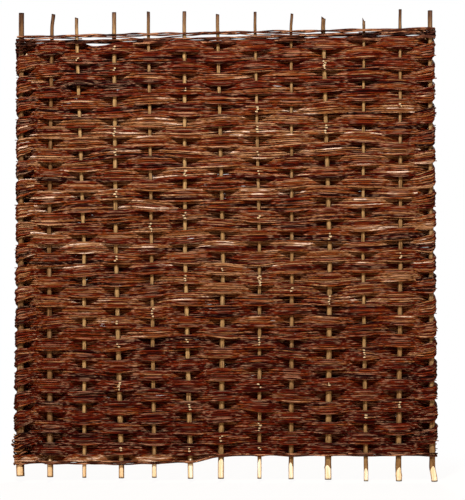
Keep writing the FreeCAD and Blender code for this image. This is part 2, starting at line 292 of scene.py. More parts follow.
def rangeOf(tree, source, span=(0.0, 1.0), result=(0.0, 1.0), kind="LINEAR"):
    node = addNode(tree, "ShaderNodeMapRange", interpolation_type=kind)
    for key, value in zip(("From Min", "From Max", "To Min", "To Max"), (*span, *result)):
        node.inputs[key].default_value = value
    tree.links.new(source, node.inputs["Value"])
    return node.outputs["Result"]


def mixOf(tree, factor, first, second, kind="MIX"):
    mix = tree.nodes.new("ShaderNodeMix")
    mix.data_type = "RGBA"
    mix.blend_type = kind
    for socket, value in ((mix.inputs[0], factor), (mix.inputs[6], first), (mix.inputs[7], second)):
        if isinstance(value, bpy.types.NodeSocket):
            tree.links.new(value, socket)
        else:
            socket.default_value = value
    return mix.outputs[2]


def grainOf(tree, stretch, scale, detail=4.0, rough=0.6):
    where = tree.nodes.new("ShaderNodeTexCoord")
    mapping = addNode(tree, "ShaderNodeMapping", Scale=stretch)
    noise = addNode(tree, "ShaderNodeTexNoise", Scale=scale, Detail=detail, Roughness=rough)
    tree.links.new(where.outputs["Object"], mapping.inputs["Vector"])
    tree.links.new(mapping.outputs["Vector"], noise.inputs["Vector"])
    return noise.outputs["Fac"]


def addSurface(tree, shader, grain, shine, relief, depth):
    # roughness and bump both follow the grain
    tree.links.new(rangeOf(tree, grain, result=shine), shader.inputs["Roughness"])
    bump = addNode(tree, "ShaderNodeBump", Strength=relief, Distance=depth)
    tree.links.new(grain, bump.inputs["Height"])
    tree.links.new(bump.outputs["Normal"], shader.inputs["Normal"])


# what all bark has in common; noise runs from 0 to 1 about 0.5
barkNoise = {
    "streak": (0.34, 0.56), "patchDetail": 2.0, "patchRough": 0.5, "bloomFrom": 0.5,
    "bare": (0.45, 0.6), "stain": (0.4, 0.6), "tipBlend": 0.1, "soilRun": (0.002, 0.009), "depth": 0.0008,
}


def barkFinish(name, look, stretch):
    mat, tree, shader = newFinish(name)
    stops = [(i / (len(look["shades"]) - 1), paint(*c)) for i, c in enumerate(look["shades"])]
    skin = rampOf(tree, attributeOf(tree, "tone"), stops)
    streak = grainOf(tree, stretch, look["streakScale"])
    weather = grainOf(tree, stretch, look["patchScale"], barkNoise["patchDetail"], barkNoise["patchRough"])
    dark = rampOf(tree, streak, list(zip(barkNoise["streak"], (paint(*look["streakDark"]), white))))
    colour = mixOf(tree, 1.0, skin, dark, "MULTIPLY")
    # a pale bloom in patches
    patch = rampOf(tree, weather, [(barkNoise["bloomFrom"], black), (look["bloomFull"], white)])
    fade = addNode(tree, "ShaderNodeMath", operation="MULTIPLY")
    fade.inputs[1].default_value = look["bloom"]
    tree.links.new(patch, fade.inputs[0])
    colour = mixOf(tree, fade.outputs[0], colour, paint(*look["bloomShade"]))
    # bark hangs on in strips along the edge of a peeled patch
    ragged = addNode(tree, "ShaderNodeMath", operation="MULTIPLY_ADD")
    ragged.inputs[1].default_value = look["ragged"]
    tree.links.new(streak, ragged.inputs[0])
    tree.links.new(attributeOf(tree, "pale"), ragged.inputs[2])
    bare = rangeOf(tree, ragged.outputs[0], [edge + 0.5 * look["ragged"] for edge in barkNoise["bare"]])
    stain = rampOf(tree, weather, list(zip(barkNoise["stain"], (paint(*look["stained"]), paint(*look["peeled"])))))
    colour = mixOf(tree, bare, colour, stain)
    # painted shade where rods touch, on the top and bottom of each rod and down the sides of each upright; the
    # same mask darkens the weathered cut end of an upright's tip
    paintedShadeAndDarkEnd = rangeOf(tree, attributeOf(tree, "seam"), (look["flankShadeAndDarkEndFrom"], 1.0), (0.0, look["seam"]))
    colour = mixOf(tree, paintedShadeAndDarkEnd, colour, paint(*look["flankShadeAndDarkEndColour"]), "MULTIPLY")
    if "tipShade" in look:
        where = addNode(tree, "ShaderNodeTexCoord")
        split = addNode(tree, "ShaderNodeSeparateXYZ")
        tree.links.new(where.outputs["Object"], split.inputs[0])
        high = rangeOf(tree, split.outputs["Z"], (look["tipFrom"], look["tipFrom"] + barkNoise["tipBlend"]),
                       (0.0, look["tipShare"]))
        colour = mixOf(tree, high, colour, paint(*look["tipShade"]), "MULTIPLY")
    if "soil" in look:
        soil = rangeOf(tree, attributeOf(tree, "run"), barkNoise["soilRun"])
        colour = mixOf(tree, soil, paint(*look["soil"]), colour)
    tree.links.new(colour, shader.inputs["Base Color"])
    shader.inputs["Specular IOR Level"].default_value = look["gloss"]
    addSurface(tree, shader, streak, look["shine"], look["relief"], barkNoise["depth"])
    return mat


woodGrain = {
    "rings": (0.0, 0.25, 0.9),       # rim, sapwood and heart, as shares of the way in
    "scale": 900.0, "spread": (0.3, 0.6), "dark": (170, 140, 105), "share": 0.6,
    "shine": (0.6, 0.9), "relief": 0.4, "depth": 0.0005,
}


def woodFinish(name, look):
    mat, tree, shader = newFinish(name)
    shades = [paint(*look[part]) for part in ("edge", "sap", "heart")]
    ring = rampOf(tree, attributeOf(tree, "pale"), list(zip(woodGrain["rings"], shades)))
    grain = grainOf(tree, (1.0, 1.0, 1.0), woodGrain["scale"])
    dark = rampOf(tree, grain, list(zip(woodGrain["spread"], (paint(*woodGrain["dark"]), white))))
    tree.links.new(mixOf(tree, woodGrain["share"], ring, dark, "MULTIPLY"), shader.inputs["Base Color"])
    addSurface(tree, shader, grain, woodGrain["shine"], woodGrain["relief"], woodGrain["depth"])
    return mat


cutEnd = {"edge": (70, 44, 26), "sap": (214, 190, 150), "heart": (196, 160, 112)}
cutWood = woodFinish("cutWood", cutEnd)
oldCut = {"edge": (48, 32, 22), "sap": (112, 82, 56), "heart": (86, 58, 38)}
weatheredCut = woodFinish("weatheredCut", oldCut)


# uprights; a pair such as flareFrom is where a change starts and how far it takes
upright = {
    "sides": 20,
    "ringStep": 0.018,
    "waver": 0.0006,          # how far the middle strays from the CAD line
    "uneven": 0.035, "unevenWaves": (0.06, 0.13, 0.3),      # share of the radius
    "knots": (4, 8), "knotSize": (0.12, 0.28), "knotTurn": 6.28, "knotClear": 0.02,
    "knotHalf": 0.007, "knotRound": 0.35, "knotRings": (-0.008, -0.004, 0.0, 0.004, 0.008),
    "shades": [(92, 62, 36), (126, 91, 56), (154, 120, 77), (190, 153, 104)],
    # tone of each upright, left to right, on those shades
    "tone": [0.2, 0.2, 0.75, 0.7, 0.5, 0.75, 0.6, 0.5, 0.45, 0.6, 0.6, 0.45, 0.45],
    "peeledBelow": [0.095, 0.1, 0.1, 0.09, 0.09, 0.1, 0.105, 0.1, 0.085, 0.075, 0.06, 0.065, 0.07],
    "peeledEdge": 0.012, "peeledRings": (-0.04, 0.02, 0.004),
    "barkTails": 0.022,       # how much lower the bark hangs on at the sides of a peeled foot
    "tailTurn": 0.5, "tailPower": 1.5,
    "darkerRightSide": {1: 0.07, 2: 0.08, 4: 0.05},         # and lower down the right-hand side alone, which leaves that side darker
    "darkerRightSideFrom": (0.5, 0.25),
    "agedFeet": {1, 2, 3, 4},
    # how much a foot swells under the weave, left to right
    "flare": [1.05, 1.04, 1.0, 1.04, 1.04, 1.04, 1.04, 1.02, 1.06, 1.04, 1.04, 1.03, 1.06],
    "flareFrom": (0.06, 0.04),
    "footBend": {13: 0.010, 1: 0.002, 12: 0.002}, "footBendLength": 0.07,
    "tipSwell": 1.06, "tipSwellFrom": (1.9, 0.03),
    "wovenSwell": 1.08, "wovenFrom": (0.1, 0.05), "wovenTo": (1.85, 0.05),
    # rise of the cut tip from its left edge to its right one; others as the frame has them
    "tipCut": {10: -0.014, 11: -0.026, 3: -0.004}, "tipRings": (0.003, 0.008),
    "tipBend": {2: 0.006, 9: 0.004, 10: 0.002}, "tipBendLength": 0.06,      # how far a tip leans to the right
    # peeled scars: upright number, height, half length
    "scars": [(6, 1.05, 0.012), (6, 0.965, 0.014), (9, 1.37, 0.012), (12, 0.99, 0.008), (4, 0.74, 0.010),
              (2, 0.97, 0.010), (1, 1.02, 0.012), (10, 1.83, 0.010)],
    "scarBare": 0.75,
    "streakScale": 230.0, "patchScale": 90.0, "streakDark": (142, 127, 118),
    "bloom": 0.4, "bloomFull": 0.72, "bloomShade": (168, 138, 102),
    # painted shade down the left and right sides of an upright, and its weathered dark tip end
    "seam": 0.9, "flankShadeAndDarkEndFrom": 0.55, "flankShadeAndDarkEndColour": (140, 98, 66),
    "peeled": (252, 242, 216), "stained": (230, 204, 160), "ragged": 0.9, "soil": (62, 46, 30),
    "tipShade": (144, 132, 164), "tipFrom": 1.93, "tipShare": 0.85,      # weathered darker above the weave
    "shine": (0.5, 0.8), "relief": 0.6, "gloss": 0.04, "stretch": (1.0, 1.0, 0.08),
}
uprightBark = barkFinish("uprightBark", upright, upright["stretch"])
agedUpright = dict(upright, peeled=(226, 194, 150), stained=(196, 160, 114))
agedBark = barkFinish("agedBark", agedUpright, agedUpright["stretch"])


def knotLumps(knots, heights):
    # swellings where side shoots were trimmed off
    least = upright["knotRound"]

    def lumps(n, angle):
        swell = np.ones((n, len(angle)))
        for z, turn, size in knots:
            along = np.exp(-((heights - z) / upright["knotHalf"]) ** 2)
            around = least + (1.0 - least) * np.clip(np.cos(angle - turn), 0.0, 1.0) ** 2
            swell += size * along[:, None] * around[None, :]
        return swell
    return lumps


def ringHeights(stake, knots, lean, bare):
    # even rings, with more at the knots, about the edge of the peeled foot and at the tip
    count = int((stake.high - stake.low) / upright["ringStep"])
    z = np.linspace(stake.low, stake.high - 0.5 * abs(lean), count)
    tip = z[-1] - np.array(upright["tipRings"])
    extra = [knot[0] + d for knot in knots for d in upright["knotRings"]]
    extra = [e for e in extra if stake.low < e < tip[0]]
    below, above, step = upright["peeledRings"]
    return np.sort(np.concatenate([z, extra, np.arange(bare + below, bare + above, step), tip]))


def makeUpright(n, stake):
    lean = upright["tipCut"].get(n + 1, stake.lean)
    bare = upright["peeledBelow"][n]
    clear = upright["knotClear"]
    knots = [(dice.uniform(stake.low + clear, stake.high - clear), dice.uniform(0.0, upright["knotTurn"]),
              dice.uniform(*upright["knotSize"])) for k in range(dice.randint(*upright["knots"]))]
    z = ringHeights(stake, knots, lean, bare)
    tipLength = upright["tipBendLength"]
    bend = upright["tipBend"].get(n + 1, 0.0) * rise(z, stake.high - tipLength, tipLength)
    bend = bend + upright["footBend"].get(n + 1, 0.0) * (1.0 - rise(z, 0.0, upright["footBendLength"]))
    path = np.stack([stake.middle(z) + ripple(z, upright["waver"]) + bend, ripple(z, upright["waver"]), z], axis=1)
    radius = stake.radius(z) * (1.0 + ripple(z, upright["uneven"], upright["unevenWaves"]) - upright["uneven"])
    radius = radius * (1.0 + (upright["flare"][n] - 1.0) * (1.0 - rise(z, *upright["flareFrom"])))
    radius = radius * (1.0 + (upright["tipSwell"] - 1.0) * rise(z, *upright["tipSwellFrom"]))
    woven = rise(z, *upright["wovenFrom"]) * (1.0 - rise(z, *upright["wovenTo"]))
    radius = radius * (1.0 + (upright["wovenSwell"] - 1.0) * woven)
    angle = np.arange(upright["sides"]) * 2.0 * math.pi / upright["sides"]
    turn = dice.uniform(-upright["tailTurn"], upright["tailTurn"])
    hang = upright["barkTails"] * np.abs(np.cos(angle + turn)) ** upright["tailPower"]
    hang = hang + upright["darkerRightSide"].get(n + 1, 0.0) * rise(-np.cos(angle), *upright["darkerRightSideFrom"])
    edge = upright["peeledEdge"]
    pale = 1.0 - smooth((z[:, None] - bare + hang[None, :] + 0.5 * edge) / edge)
    for number, height, half in upright["scars"]:
        if number == n + 1:
            pale = np.maximum(pale, upright["scarBare"] * np.exp(-((z - height) / half) ** 2)[:, None])
    bundle = Bundle("upright_bark_" + stake.name[-2:])
    bundle.addRod(path, radius, upright["tone"][n], pale, up=(0.0, 1.0, 0.0), sides=upright["sides"],
                  tipLean=lean, lumps=knotLumps(knots, z), flank=np.cos, darkEnd=2, lowest=stake.low)
    bark = agedBark if n + 1 in upright["agedFeet"] else uprightBark
    bundle.make(bark, weatheredCut, stake.name, "upright_bark")


for n, stake in enumerate(stakes):
    makeUpright(n, stake)
print("uprights made")


# the weave: lanes of rods, two deep, that run to and fro from the bottom row to the top one
weave = {
    "lanes": 13,
    "thin": 0.0017, "thick": 0.0042,
    "fill": 2.1,               # rod thickness in a row over the row's own height
    "layer": 0.0019,           # half the step between the front rods and the back ones
    "gap": 0.0004,
    "stepsPerBay": 9, "stepsPerTurn": 8,
    "joinSteps": (2, 5),       # how far into its first bay a row's rod takes over
    "firstTail": 0.022, "lastTail": (0.0, 0.011, 0.024),
    "sides": 6,
    "waverUp": 0.0008, "upWaves": (0.11, 0.23, 0.61),
    "waverOut": 0.0009, "outWaves": (0.13, 0.29, 0.7),
    "uneven": 0.07, "unevenWaves": (0.05, 0.12, 0.37),
    "bulge": 0.14,             # how much a row opens where it lies over an upright
    "tone": (0.04, 0.84), "darkest": 0.0, "palest": 0.84,
    # painted shade: the lowest rows are painted darker, and the top ones too: row, share of its tone
    "paintedRowShade": [(0, 0.36), (8, 0.5), (12, 0.76), (16, 0.94), (20, 0.98), (30, 0.98), (33, 0.72), (38, 0.55)],
    "lots": 7, "lotSpread": 0.3,       # a row's tone drifts along it, as one lot of rods takes over from another
    # some of the rods are paler, a hand's breadth at a time
    "paleRods": 0.5, "paleTone": 0.32, "paleSwing": 3.0, "paleFrom": 0.4, "paleWaves": (0.11, 0.19, 0.43),
    "paintedTurnShade": 0.6, "turnFrom": (0.006, 0.01),      # painted shade: the bark is painted darker where a rod turns round an end upright, away from the light
    "shades": [(30, 2, 1), (74, 12, 1), (102, 31, 6), (119, 55, 18), (134, 85, 46),
               (168, 122, 84), (226, 193, 168)],
    "streakScale": 240.0, "patchScale": 130.0, "streakDark": (96, 58, 40),
    "bloom": 0.42, "bloomFull": 0.7, "bloomShade": (188, 142, 110),
    # painted shade along the top and bottom of each rod, where rods touch
    "seam": 0.95, "flankShadeAndDarkEndFrom": 0.25, "flankShadeAndDarkEndColour": (70, 10, 1),
    "peeled": (236, 220, 188), "stained": (206, 172, 128), "ragged": 0.5,
    "shine": (0.5, 0.75), "relief": 0.8, "gloss": 0.03, "stretch": (0.03, 1.0, 1.0),
}
weaveBark = barkFinish("weaveBark", weave, weave["stretch"])
lanes = weave["lanes"]


def laneSet():
    # thicknesses of the rods side by side in a row, filling its height
    sizes = np.array([dice.uniform(weave["thin"], weave["thick"]) for k in range(lanes)])
    return sizes * weave["fill"] * pitch / (2.0 * sizes.sum())


leftSets = [laneSet() for k in range(rowCount // 2 + 2)]
rightSets = [laneSet() for k in range(rowCount // 2 + 2)]
# neighbouring rods cross over each other and back: how readily, and the lengths in metres
swap = {"chance": 0.7, "first": (0.15, 0.5), "long": (0.25, 0.9), "rest": (0.2, 0.5), "spread": (0.06, 0.14),
        "clear": 0.15}


class Row:
    # how the rods of one row lie in order, thickness and height
    def __init__(self, row):
        self.left = leftSets[row // 2]                # rows 0 and 1 share a turn at the left
        self.right = rightSets[(row + 1) // 2]        # rows 1 and 2 at the right
        self.swaps = []
        for low in range(dice.choice((0, 1)), lanes - 1, 2):
            start = dice.uniform(stakeX[0] + swap["first"][0], stakeX[0] + swap["first"][1])
            while dice.random() < swap["chance"]:
                stop = start + dice.uniform(*swap["long"])
                if stop > stakeX[last] - swap["clear"]:
                    break
                self.swaps.append((low, start, stop, dice.uniform(*swap["spread"])))
                start = stop + dice.uniform(*swap["rest"])

    def radii(self, x):
        share = np.clip((x - stakeX[0]) / (stakeX[last] - stakeX[0]), 0.0, 1.0)
        return self.left[:, None] * (1.0 - share) + self.right[:, None] * share

    def lie(self, lane, x):
        # height of the rod over the row's middle, and its radius
        sizes = self.radii(x)
        rank = np.repeat(np.arange(lanes, dtype=float)[:, None], len(x), axis=1)
        for low, start, stop, spread in self.swaps:
            amount = smooth((x - start) / spread + 0.5) * (1.0 - smooth((x - stop) / spread + 0.5))
            rank[low] += amount
            rank[low + 1] -= amount
        above = np.clip(0.5 + 0.5 * (rank[lane] - rank), 0.0, 1.0)
        height = (above * 2.0 * sizes).sum(axis=0) - sizes.sum(axis=0)
        return height / weave["fill"], sizes[lane]


rowLies = [Row(r) for r in range(rowCount)]
# share of a row's height climbed before the turn and by its end, and where in the bay climbing starts and ends
climb = {"before": 0.12, "after": 0.8, "start": 0.6, "end": 0.45}
fan = {"spread": 0.3, "reach": 0.11}     # rods of a row open out towards the end uprights
endSpread = (1.0 + fan["spread"]) * (1.0 + weave["bulge"])


def fanned(x):
    near = np.minimum(np.abs(x - stakeX[0]), np.abs(x - stakeX[last]))
    return 1.0 + fan["spread"] * (1.0 - smooth(near / fan["reach"]))


# the rows rise and dip together, so the weave stays shut; each wave is a share, waves along, waves up and a phase
drifts = {"size": 0.0022, "waves": [(1.0, 7.1, 2.3, 0.4), (1.0, 13.7, -5.1, 1.9), (0.8, 23.0, 11.0, 4.2)]}
# they are packed tighter in some places than in others, away from the bottom and the top
packs = {"size": 0.0045, "waves": [(1.0, 6.3, 24.0, 0.9), (0.6, -9.0, 37.0, 2.2)],
         "bottom": 0.12, "top": 1.86, "fade": 0.2}
dip = {"after": 3, "deep": 0.015, "half": 0.06}      # a slit over the top row, right of that upright


def wavesOf(group, x, z):
    return group["size"] * sum(share * np.sin(along * x + up * z + phase)
                               for share, along, up, phase in group["waves"])


def sway(x, z):
    inside = rise(z, packs["bottom"], packs["fade"]) * smooth((packs["top"] - z) / packs["fade"])
    middle = 0.5 * (stakeX[dip["after"] - 1] + stakeX[dip["after"]])
    over = smooth((z - rowLevel(rowCount - 1, x)) / pitch + 0.5)
    slit = dip["deep"] * over * np.exp(-((x - middle) / dip["half"]) ** 4)
    return wavesOf(drifts, x, z) - slit + inside * wavesOf(packs, x, z)


def clearOf(n, z, r):
    # how far from the middle of upright n a row runs past it
    return stakes[n].radius(z) + r + weave["gap"] + weave["layer"]


def lanePath(lane):
    # the whole to-and-fro line of one lane, as points, radii, and the place where each row's rod starts
    points, radii, starts = [], [], []
    depth = weave["layer"] if lane % 2 else -weave["layer"]
    t = np.arange(weave["stepsPerBay"]) / weave["stepsPerBay"]
    for row in range(rowCount):
        lie = rowLies[row]
        order = list(range(last, -1, -1)) if row % 2 == 0 else list(range(last + 1))
        outward = -1.0 if row % 2 == 0 else 1.0       # the end that this row runs to
        for bay, (a, b) in enumerate(zip(order[:-1], order[1:])):
            x = stakeX[a] + (stakeX[b] - stakeX[a]) * t
            up, r = lie.lie(lane, x)
            z = rowLevel(row, x) + up * fanned(x) * (1.0 + weave["bulge"] * np.cos(math.pi * t) ** 2)
            if bay == 0 and row > 0:
                risen = climb["after"] + (1.0 - climb["after"]) * smooth(t / climb["end"])
                z = z - (1.0 - risen) * (rowLevel(row, x) - rowLevel(row - 1, x))
            if bay == last - 1 and row < rowCount - 1:
                risen = climb["before"] * smooth((t - climb["start"]) / (1.0 - climb["start"]))
                z = z + risen * (rowLevel(row + 1, x) - rowLevel(row, x))
            out = [rowSide(row, n) * clearOf(n, z, r) for n in (a, b)]
            y = out[0] + (out[1] - out[0]) * halfWave(t) + depth
            # the line follows the leaning of the uprights it passes
            shift = (1.0 - t) * (stakes[a].middle(z) - stakeX[a]) + t * (stakes[b].middle(z) - stakeX[b])
            if bay == 0:
                starts.append(len(points) + dice.randint(*weave["joinSteps"]) if row else 0)
                if row == 0:
                    points.append((x[0] + weave["firstTail"], y[0], z[0]))
                    radii.append(r[0])
            points.extend(zip(x + shift, y, z))
            radii.extend(r)
        end = order[-1]
        up, r = lie.lie(lane, np.array([stakeX[end]]))
        if row == rowCount - 1:
            z = rowLevel(row, stakeX[end]) + up[0] * endSpread
            y = rowSide(row, end) * clearOf(end, z, r[0]) + depth
            for reach in weave["lastTail"]:
                points.append((stakes[end].middle(z) + outward * reach, y, z))
                radii.append(r[0])
            continue
        for k in range(weave["stepsPerTurn"]):
            share = k / weave["stepsPerTurn"]
            risen = climb["before"] + (climb["after"] - climb["before"]) * share
            z = (1.0 - risen) * rowLevel(row, stakeX[end]) + risen * rowLevel(row + 1, stakeX[end])
            z += up[0] * endSpread
            far = clearOf(end, z, r[0])
            phi = math.pi * share
            points.append((stakes[end].middle(z) + outward * (far + depth) * math.sin(phi),
                           rowSide(row, end) * far * math.cos(phi) + depth, z))
            radii.append(r[0])
    starts.append(len(points) - 1)
    points, radii = np.array(points), np.array(radii)
    run = runOf(points)
    points[:, 2] += sway(points[:, 0], points[:, 2]) + ripple(run, weave["waverUp"], weave["upWaves"])
    points[:, 1] += ripple(run, weave["waverOut"], weave["outWaves"])
    radii = radii * (1.0 + ripple(run, weave["uneven"], weave["unevenWaves"]))
    return points, radii, starts


# places where rods were joined in: upright number, then heights in metres of the cut ends that show in front
joinedAt = {
    3: [1.81], 4: [1.84, 1.80, 1.54, 1.40, 1.275, 1.24, 0.93, 0.735, 0.565, 0.455, 0.38, 0.17],
    5: [1.06, 0.715], 6: [1.725, 1.38, 1.295, 1.18, 0.85, 0.62, 0.29, 0.14], 7: [0.93, 0.115],
    8: [1.64, 1.57, 1.44, 1.325, 1.14, 0.92, 0.865, 0.56, 0.39, 0.23, 0.135], 9: [0.875],
    10: [1.85, 1.82, 1.56, 1.04, 0.76, 0.42], 11: [0.58, 0.31], 12: [1.665, 0.99, 0.36],
}
joint = {
    "ends": (2, 4), "step": 0.0105, "stray": (-0.002, 0.002),        # cut ends one above the other
    "thick": (0.0030, 0.0042), "taper": 0.25, "length": (0.03, 0.055), "rings": 7,
    "past": (-0.004, 0.006), "standOff": 0.0065,     # where the end stops, and how far it stands out
    "sink": 0.011, "sinkRate": 1.3, "slope": (-0.006, 0.006),
    "slant": (1.2, 2.2), "tone": (0.2, 0.75),
}


def frontRow(n, z):
    # the row in front of upright n that is nearest to a height
    fronts = [r for r in range(rowCount) if rowSide(r, n) < 0.0]
    return min(fronts, key=lambda r: abs(rowLevel(r, stakeX[n]) - z))


def addJoint(n, height):
    row = frontRow(n, height)
    level = rowLevel(row, stakeX[n]) + sway(stakeX[n], height)
    ends = dice.randint(*joint["ends"])
    t = np.linspace(0.0, 1.0, joint["rings"])
    for k in range(ends):
        r = dice.uniform(*joint["thick"])
        z = level + (k - 0.5 * (ends - 1)) * joint["step"] + dice.uniform(*joint["stray"])
        way = 1.0 if (k + n) % 2 else -1.0
        long = dice.uniform(*joint["length"])
        tip = stakes[n].middle(z) + way * dice.uniform(*joint["past"])
        out = stakes[n].radius(z) + 2.0 * weave["layer"] + joint["standOff"] + r
        path = np.stack([tip - way * long * (1.0 - t),
                         -out + joint["sink"] * (1.0 - smooth(joint["sinkRate"] * t)),
                         z + dice.uniform(*joint["slope"]) * (1.0 - t)], axis=1)
        bundles[row].addRod(path, r * (1.0 - joint["taper"] * (1.0 - t)), dice.uniform(*joint["tone"]),
                            sides=weave["sides"], slant=dice.uniform(*joint["slant"]))


# short ends that poke out past the end uprights
poke = {"perRow": (1, 3), "spread": (-0.4, 0.4), "thick": (0.0022, 0.0036), "taper": 0.2, "rings": 6,
        "inside": (0.03, 0.06), "outside": (0.016, 0.027), "standOff": 0.004, "sink": 0.45, "sinkRate": 1.6,
        "slope": (-0.005, 0.005), "tone": (0.1, 0.6)}


def addPokes(row):
    t = np.linspace(0.0, 1.0, poke["rings"])
    for end, way in ((0, -1.0), (last, 1.0)):
        for k in range(dice.randint(*poke["perRow"])):
            r = dice.uniform(*poke["thick"])
            z = rowLevel(row, stakeX[end]) + dice.uniform(*poke["spread"]) * pitch
            z += sway(stakeX[end], z)
            start, stop = -dice.uniform(*poke["inside"]), dice.uniform(*poke["outside"])
            out = rowSide(row, end) * (stakes[end].radius(z) + r + poke["standOff"])
            path = np.stack([stakes[end].middle(z) + way * (start + (stop - start) * t),
                             out * (1.0 - poke["sink"] * (1.0 - smooth(poke["sinkRate"] * t))),
                             z + dice.uniform(*poke["slope"]) * t], axis=1)
            bundles[row].addRod(path, r * (1.0 - poke["taper"] * t), dice.uniform(*poke["tone"]),
                                sides=weave["sides"])


bundles = [Bundle("willow_row_" + name[-2:]) for name in rowNames]
lots = np.array([[dice.uniform(-1.0, 1.0) for k in range(weave["lots"])] for row in rows])
lots = weave["lotSpread"] * (lots - lots.mean(axis=1, keepdims=True))
lotX = np.linspace(stakeX[0], stakeX[last], weave["lots"])
# each layer of a row holds dark rods and pale ones alike, in shuffled order
deck = random.Random(3)
layerSizes = [len(range(layer, lanes, 2)) for layer in (0, 1)]
places = np.zeros((rowCount, lanes))
for row in range(rowCount):
    for layer, size in enumerate(layerSizes):
        places[row, layer::2] = deck.sample(range(size), size)


def laneTone(row, lane, points):
    low, high = weave["tone"]
    share = (places[row, lane] + dice.random()) / layerSizes[lane % 2]
    drift = np.interp(points[:, 0], lotX, lots[row])
    tone = np.clip(low + (high - low) * share + drift, weave["darkest"], weave["palest"])
    # painted shade, row by row
    tone = tone * np.interp(row, *zip(*weave["paintedRowShade"]))
    if dice.random() < weave["paleRods"]:
        swing = ripple(points[:, 0], weave["paleSwing"], weave["paleWaves"])
        tone = tone + weave["paleTone"] * smooth(swing - weave["paleFrom"])
    left, right = (stakes[n].middle(points[:, 2]) for n in (0, last))
    past = np.maximum(left - points[:, 0], points[:, 0] - right)
    # painted shade on the turns round the end uprights
    return tone * (1.0 - weave["paintedTurnShade"] * rise(past, *weave["turnFrom"]))


for lane in range(lanes):
    points, radii, starts = lanePath(lane)
    for row in range(rowCount):
        part = slice(starts[row], starts[row + 1] + 1)
        tone = laneTone(row, lane, points[part])
        bundles[row].addRod(points[part], radii[part], tone, sides=weave["sides"])
for n, heights in joinedAt.items():
    for height in heights:
        addJoint(n - 1, height)
for row in range(rowCount):
    addPokes(row)
for bundle, name in zip(bundles, rowNames):
    bundle.make(weaveBark, cutWood, name, "weave_bark")
print("weave made:", lanes * rowCount, "rods")


# single rods that pass in front of one upright and behind the next
strand = {"steps": 10, "tailStep": 0.4, "uneven": 0.07, "waver": 0.0012, "thin": 0.75,
          "toneSpread": 0.6, "toneWaves": (0.05, 0.11, 0.27)}


def strandPath(first, final, heights, r, side, tails, layer):
    # uprights first to final, heights at each, side -1 where it starts in front
    t = np.arange(strand["steps"]) / strand["steps"]
    points = []
    for k, n in enumerate(range(first, final)):
        sign = side if k % 2 == 0 else -side
        za, zb = heights[k], heights[k + 1]
        z = za + (zb - za) * smooth(t)
        far = [stakes[m].radius(h) + r + weave["gap"] + layer for m, h in ((n, za), (n + 1, zb))]
        y = sign * (far[0] - (far[0] + far[1]) * halfWave(t))
        x = stakes[n].middle(za) + (stakes[n + 1].middle(zb) - stakes[n].middle(za)) * t
        if k == 0:
            for reach in (tails[0], strand["tailStep"] * tails[0]):
                points.append((x[0] - reach, y[0], z[0]))
        points.extend(zip(x, y, z))
    sign = side if (final - first) % 2 == 0 else -side
    far = stakes[final].radius(heights[-1]) + r + weave["gap"] + layer
    for reach in (0.0, 0.5 * tails[1], tails[1]):
        points.append((stakes[final].middle(heights[-1]) + reach, sign * far, heights[-1]))
    return np.array(points)


def addStrand(bundle, path, r, tone, waver=strand["waver"], thin=strand["thin"]):
    run = runOf(path)
    path = path.copy()
    path[:, 2] += ripple(run, waver)
    taper = 1.0 + (thin - 1.0) * run / run[-1]
    uneven = 1.0 + ripple(run, strand["uneven"])
    tone = np.clip(tone + ripple(run, strand["toneSpread"], strand["toneWaves"]), 0.0, 1.0)
    bundle.addRod(path, r * taper * uneven, tone, sides=weave["sides"])


# rods wound up round an end upright, standing out most at one height
winding = {"steps": 60, "thickness": (0.85, 1.1), "taper": 0.35, "waverUp": 0.004, "clear": 0.003,
           "waverOut": 0.0035, "bulgeHalf": 0.03}


def addWinding(bundle, stake, wind, level):
    way = -1.0 if stake is stakes[0] else 1.0
    t = np.linspace(0.0, 1.0, winding["steps"])
    for k in range(wind["rods"]):
        r = wind["thick"] * dice.uniform(*winding["thickness"])
        angle = 2.0 * math.pi * (wind["turns"] * t + k / wind["rods"])
        z = level + wind["from"] + (wind["to"] - wind["from"]) * t
        z = z + winding["waverUp"] * np.sin(3.0 * angle + k)
        far = stake.radius(z) + r + winding["clear"] + winding["waverOut"] * np.sin(2.0 * angle + 2.0 * k)
        bulge = wind["bulge"] * np.exp(-((z - level - wind["bulgeAt"]) / winding["bulgeHalf"]) ** 2)
        far = far + bulge * np.clip(np.cos(angle), 0.0, 1.0)
        path = np.stack([stake.middle(z) + way * far * np.cos(angle), -far * np.sin(angle), z], axis=1)
        bundle.addRod(path, r * (1.0 - winding["taper"] * t), dice.uniform(*wind["tone"]), sides=weave["sides"])


# the part row at the bottom left, and the rods wound on round the corner
packing = {"rods": 8, "thick": (0.0034, 0.0046), "leftTail": 0.024, "tail": (0.02, 0.12), "layer": 0.0016,
           "tone": (0.5, 0.75)}
corner = {"turns": 2.6, "from": 0.074, "to": 0.205, "rods": 3, "thick": 0.0048, "tone": (0.55, 0.75),
          "bulge": 0.010, "bulgeAt": 0.17}
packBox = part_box("packing_row")
packSides = levelOf("packing_row", 1, 4)[2]


def makePacking():
    bundle = Bundle("willow_packing")
    final = int(np.argmin(np.abs(stakeX - packBox[1][0])))
    bottom, top = packBox[0][2], packBox[1][2]
    low, high = packing["tail"]
    for k in range(packing["rods"]):
        share = k / (packing["rods"] - 1)
        r = dice.uniform(*packing["thick"])
        heights = np.full(final + 1, bottom + r + (top - bottom - 2.0 * r) * share)
        tails = (packing["leftTail"], low + (high - low) * share)       # the upper rods run on under the first row
        path = strandPath(0, final, heights, r, packSides[2], tails, packing["layer"] * (k % 2))
        addStrand(bundle, path, r, dice.uniform(*packing["tone"]))
    addWinding(bundle, stakes[0], corner, 0.0)
    bundle.make(weaveBark, cutWood, "packing_row", "weave_bark")


makePacking()
print("packing row made")


